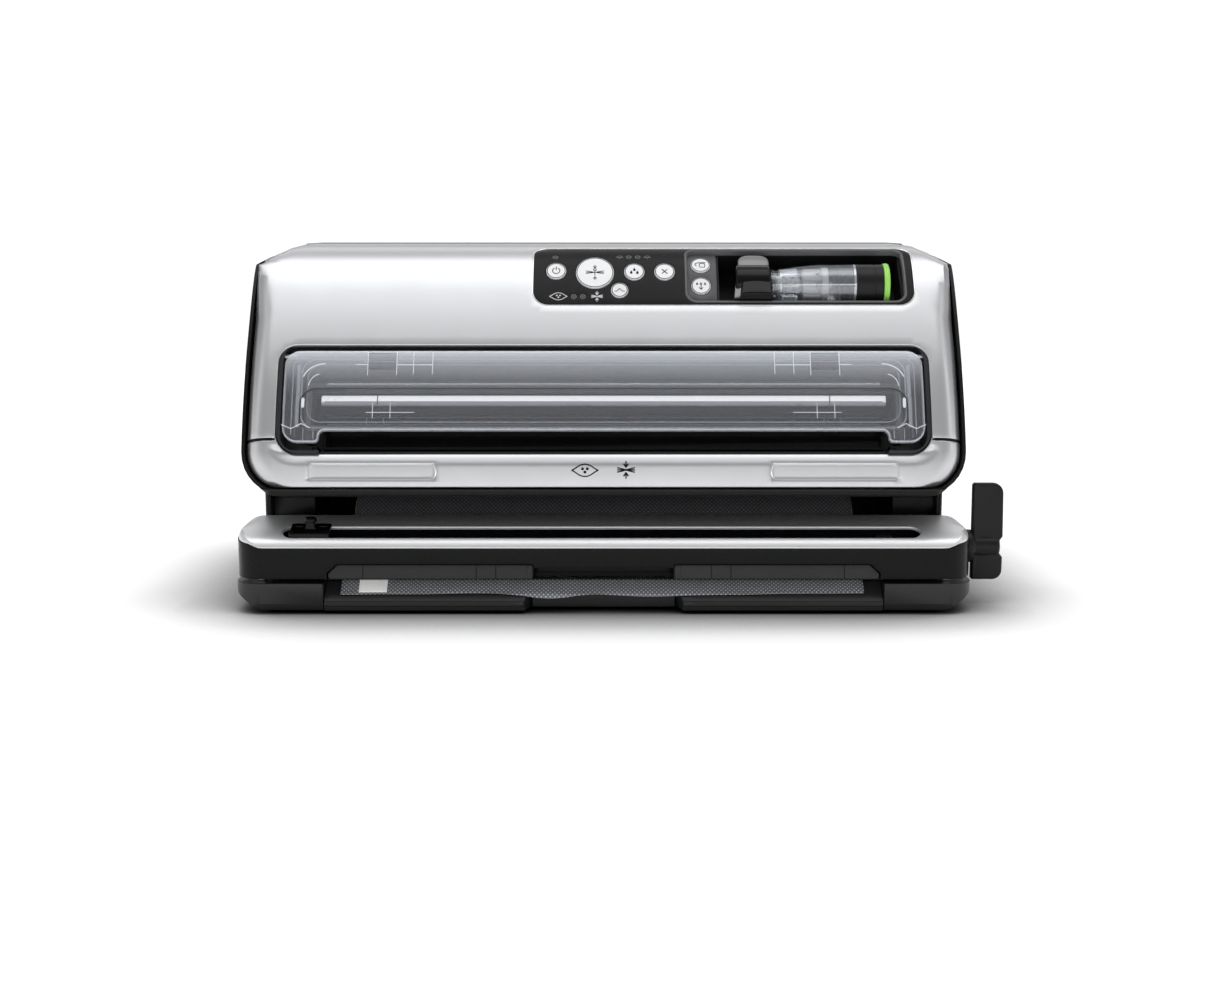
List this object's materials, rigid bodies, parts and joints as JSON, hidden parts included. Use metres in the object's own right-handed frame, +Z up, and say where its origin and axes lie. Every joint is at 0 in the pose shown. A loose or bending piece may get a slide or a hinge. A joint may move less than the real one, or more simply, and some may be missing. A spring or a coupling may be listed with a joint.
{
  "type": "vacuum sealer",
  "caption": "Countertop vacuum sealer with a sloping silver front, clear lid over its vacuum channel, docked handheld sealer, and a base with bag roll, sliding cutter and clamp lever.",
  "frame": {"origin": "middle of the overall width (lever included) and depth, on the surface the machine stands on; the body's own middle is 9.95 mm to -X of it, because the lever stands out on +X", "axes": "-Y out of the front, +X to the right seen from the front, along the machine's length, +Z up"},
  "size_m": [0.4192, 0.2082, 0.1967],
  "materials": {
    "silver_paint": "satin silver paint with a fine metallic grain",
    "black_shell": "fine textured black ABS",
    "black_base": "smooth semi-gloss black ABS",
    "charcoal_panel": "dark charcoal, glossy, with a thin bright edge",
    "inner_black": "matte black",
    "grip_grey": "ribbed dark grey",
    "button_grey": "soft-touch pale grey",
    "light_lens": "frosted lens",
    "clear_plastic": "clear polished polycarbonate",
    "lever_black": "satin black",
    "green_ring": "bright green",
    "valve_white": "pale grey",
    "steel": "brushed",
    "seal_metal": "bright silver",
    "heater_tape": "smooth non-stick tape over the heating wire",
    "gasket_rubber": "closed-cell foam",
    "pad_rubber": "red silicone",
    "foot_rubber": "matte",
    "bag_film": "translucent film with an embossed diamond pattern",
    "core_card": "raw card",
    "motor_steel": "zinc plated",
    "pump_black": "moulded",
    "tube_silicone": "milky silicone",
    "circuit_board": "green solder mask",
    "inlet_black": "moulded",
    "bush_nylon": "natural nylon"
  },
  "bodies": {
    "base": {"base_pan": "black_base", "slot_sill": "black_base", "base_housing": "black_base", "rubber_feet": "foot_rubber", "base_screws": "steel", "roll_cradle": "inner_black", "clamp_guides": "steel", "base_hinge_knuckles": "black_shell", "hinge_rod": "steel", "bag_seal_element": "heater_tape", "film_sheet": "bag_film", "power_transformer": "motor_steel"},
    "bag_roll": {"film_roll": "bag_film", "roll_core": "core_card"},
    "clamp_bar": {"clamp_housing": "black_base", "clamp_cover": "silver_paint", "grip_inserts": "grip_grey", "cutter_track": "inner_black", "pressure_pad": "pad_rubber", "lever_bush": "bush_nylon"},
    "cutter": {"cutter_slider": "lever_black", "cutter_blade": "steel"},
    "lever": {"lever_paddle": "lever_black", "lever_shaft": "steel"},
    "upper_unit": {"front_shell": "silver_paint", "front_lip": "silver_paint", "rear_shell": "black_shell", "bottom_plate": "black_shell", "upper_hinge_knuckles": "black_shell", "control_bezel": "charcoal_panel", "indicator_lights": "light_lens", "control_board": "circuit_board", "dock_liner": "inner_black", "vacuum_chamber": "inner_black", "drip_tray": "inner_black", "channel_gasket": "gasket_rubber", "seal_bar": "seal_metal", "heating_strip": "heater_tape", "lid_latches": "inner_black", "pump_motor": "motor_steel", "pump_head": "pump_black", "vacuum_tube": "tube_silicone", "power_inlet": "inlet_black", "shell_screws": "steel"},
    "lid": {"clear_lid": "clear_plastic", "lid_gasket": "gasket_rubber", "lid_pins": "steel"},
    "handheld": {"handheld_head": "lever_black", "handheld_reservoir": "clear_plastic", "handheld_valve": "valve_white", "handheld_collar": "lever_black", "handheld_ring": "green_ring"},
    "button_power_body": {"button_power": "button_grey"},
    "button_vacuum_seal_body": {"button_vacuum_seal": "button_grey"},
    "button_moist_body": {"button_moist": "button_grey"},
    "button_cancel_body": {"button_cancel": "button_grey"},
    "button_seal_body": {"button_seal": "button_grey"},
    "button_accessory_body": {"button_accessory": "button_grey"},
    "button_marinate_body": {"button_marinate": "button_grey"}
  },
  "joints": [
    {"name": "upper_hinge", "type": "hinge", "parent": "base", "child": "upper_unit", "pos_m": [0, 0.0989, 0.068], "axis": [-1, 0, 0], "range_deg": [0, 45]},
    {"name": "roll_spin", "type": "hinge", "parent": "base", "child": "bag_roll", "pos_m": [0, -0.0271, 0.036], "axis": [1, 0, 0], "continuous": true},
    {"name": "clamp_press", "type": "slide", "parent": "base", "child": "clamp_bar", "axis": [0, 0, -1], "range_m": [0, 0.0012], "stiffness_N_per_m": 3000, "springref_m": -0.002},
    {"name": "lever_turn", "type": "hinge", "parent": "clamp_bar", "child": "lever", "pos_m": [0.19, -0.0771, 0.033], "axis": [1, 0, 0], "range_deg": [0, 60]},
    {"name": "cutter_slide", "type": "slide", "parent": "clamp_bar", "child": "cutter", "axis": [1, 0, 0], "range_m": [0, 0.315]},
    {"name": "lid_hinge", "type": "hinge", "parent": "upper_unit", "child": "lid", "pos_m": [0, -0.07111, 0.1367], "axis": [-1, 0, 0], "range_deg": [0, 62]},
    {"name": "handheld_lift", "type": "slide", "parent": "upper_unit", "child": "handheld", "axis": [0, -0.7164, 0.6977], "range_m": [0, 0.08]},
    {"name": "press_power", "type": "slide", "parent": "upper_unit", "child": "button_power_body", "axis": [0, 0.7684, -0.64], "range_m": [0, 0.001], "stiffness_N_per_m": 400, "springref_m": -0.0005},
    {"name": "press_vacuum_seal", "type": "slide", "parent": "upper_unit", "child": "button_vacuum_seal_body", "axis": [0, 0.7741, -0.6331], "range_m": [0, 0.001], "stiffness_N_per_m": 400, "springref_m": -0.0005},
    {"name": "press_moist", "type": "slide", "parent": "upper_unit", "child": "button_moist_body", "axis": [0, 0.7708, -0.6371], "range_m": [0, 0.001], "stiffness_N_per_m": 400, "springref_m": -0.0005},
    {"name": "press_cancel", "type": "slide", "parent": "upper_unit", "child": "button_cancel_body", "axis": [0, 0.7708, -0.6371], "range_m": [0, 0.001], "stiffness_N_per_m": 400, "springref_m": -0.0005},
    {"name": "press_seal", "type": "slide", "parent": "upper_unit", "child": "button_seal_body", "axis": [0, 0.8245, -0.5658], "range_m": [0, 0.001], "stiffness_N_per_m": 400, "springref_m": -0.0005},
    {"name": "press_accessory", "type": "slide", "parent": "upper_unit", "child": "button_accessory_body", "axis": [0, 0.6756, -0.7373], "range_m": [0, 0.001], "stiffness_N_per_m": 400, "springref_m": -0.0005},
    {"name": "press_marinate", "type": "slide", "parent": "upper_unit", "child": "button_marinate_body", "axis": [0, 0.807, -0.5905], "range_m": [0, 0.001], "stiffness_N_per_m": 400, "springref_m": -0.0005}
  ],
  "couplings": [
    {"joint": "lever_turn", "follows": "clamp_press", "rad_per_m": 872.66}
  ]
}
